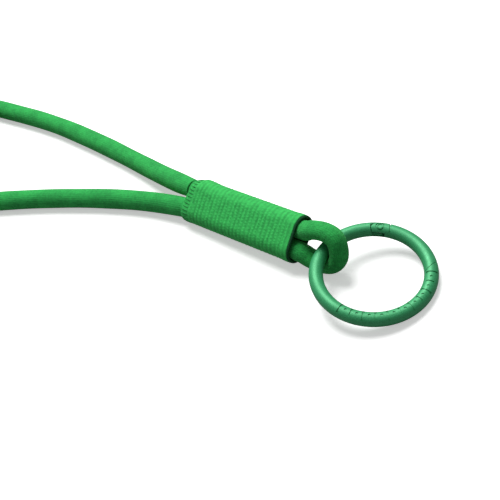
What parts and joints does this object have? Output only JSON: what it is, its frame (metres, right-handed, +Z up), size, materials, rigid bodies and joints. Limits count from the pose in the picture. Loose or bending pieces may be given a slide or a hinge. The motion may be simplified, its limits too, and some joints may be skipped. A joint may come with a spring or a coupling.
{
  "type": "neck lanyard",
  "caption": "Round-cord neck lanyard: the cord's bight holds a sprung-gate ring, and a ribbed ribbon sleeve joins the two legs; the neck loop is wound into a hank and tied.",
  "frame": {"origin": "on the table, under the middle of the sleeve and ring together", "axes": "+Z up from the table; +X from the cord legs to the ring, along the sleeve; +Y to the left"},
  "size_m": [0.2726, 0.0566, 0.0149],
  "materials": {
    "cord": "smooth fine knit polyester, matt",
    "ribbon": "ribbed grosgrain ribbon, matt",
    "lining": "plain weave, matt",
    "thread": "sewing thread",
    "wrap": "heat-shrunk film",
    "ring_paint": "satin metallic green",
    "pin": "satin metallic green",
    "spring": "drawn wire",
    "tie": "hook-and-loop strap"
  },
  "bodies": {
    "lanyard": {"sleeve_ribbon": "ribbon", "sleeve_lining": "lining", "sleeve_hem_cord_end": "ribbon", "sleeve_hem_ring_end": "ribbon", "sleeve_stitches": "thread", "splice_wrap": "wrap", "cord_bight": "cord", "cord_tail": "cord", "cord_lower_leg": "cord", "cord_upper_leg": "cord", "cord_hank": "cord", "hank_tie": "tie"},
    "ring": {"ring_body": "ring_paint", "hinge_spring": "spring"},
    "gate": {"ring_gate": "ring_paint", "hinge_pin": "pin"}
  },
  "joints": [
    {"name": "ring_swing", "type": "hinge", "parent": "lanyard", "child": "ring", "pos_m": [0.01027, 0, 0.00745], "axis": [0, -1, 0], "range_deg": [-30, 90]},
    {"name": "gate_hinge", "type": "hinge", "parent": "ring", "child": "gate", "pos_m": [0.01861, 0.01298, 0.00581], "axis": [-0.193, 0, -0.9812], "range_deg": [0, 28], "stiffness_Nm_per_rad": 0.01, "springref_deg": -20.05, "deforming": ["hinge_spring"]}
  ]
}
